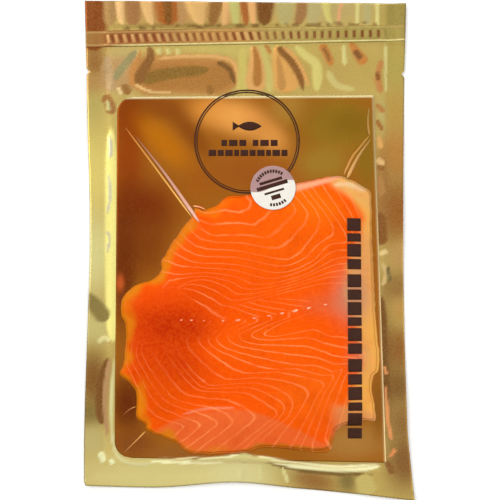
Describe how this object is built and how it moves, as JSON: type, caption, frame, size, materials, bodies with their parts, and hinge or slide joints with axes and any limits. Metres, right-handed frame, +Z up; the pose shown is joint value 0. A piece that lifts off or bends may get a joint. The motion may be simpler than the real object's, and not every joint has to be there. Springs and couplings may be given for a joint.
{
  "type": "smoked salmon pack",
  "caption": "Flat vacuum pouch with a gold foil back, clear front and zip top, holding thin orange smoked salmon slices on a gold card.",
  "frame": {"origin": "on the surface the pack lies on, under the middle of its outline", "axes": "+Z up out of the clear front, +Y along the pack towards the zip, +X to the right seen from the front"},
  "size_m": [0.1694, 0.2574, 0.0097],
  "materials": {
    "gold_foil": "metallised gold film, glossy, softly crinkled",
    "clear_film": "clear glossy vacuum film with soft creases",
    "zip_plastic": "clear press-to-close profile over gold, with crimped ribs",
    "label_paper": "satin pale label with plain rings and bars",
    "gold_card": "mirror-like gold laminated card",
    "salmon": "moist translucent orange flesh with pale wavy fat lines",
    "print_ink": "dark brown ink printed on the film"
  },
  "bodies": {
    "root": {"pouch_back": "gold_foil", "pouch_front": "clear_film", "zip_strip": "zip_plastic", "round_label": "label_paper"}
  },
  "joints": []
}
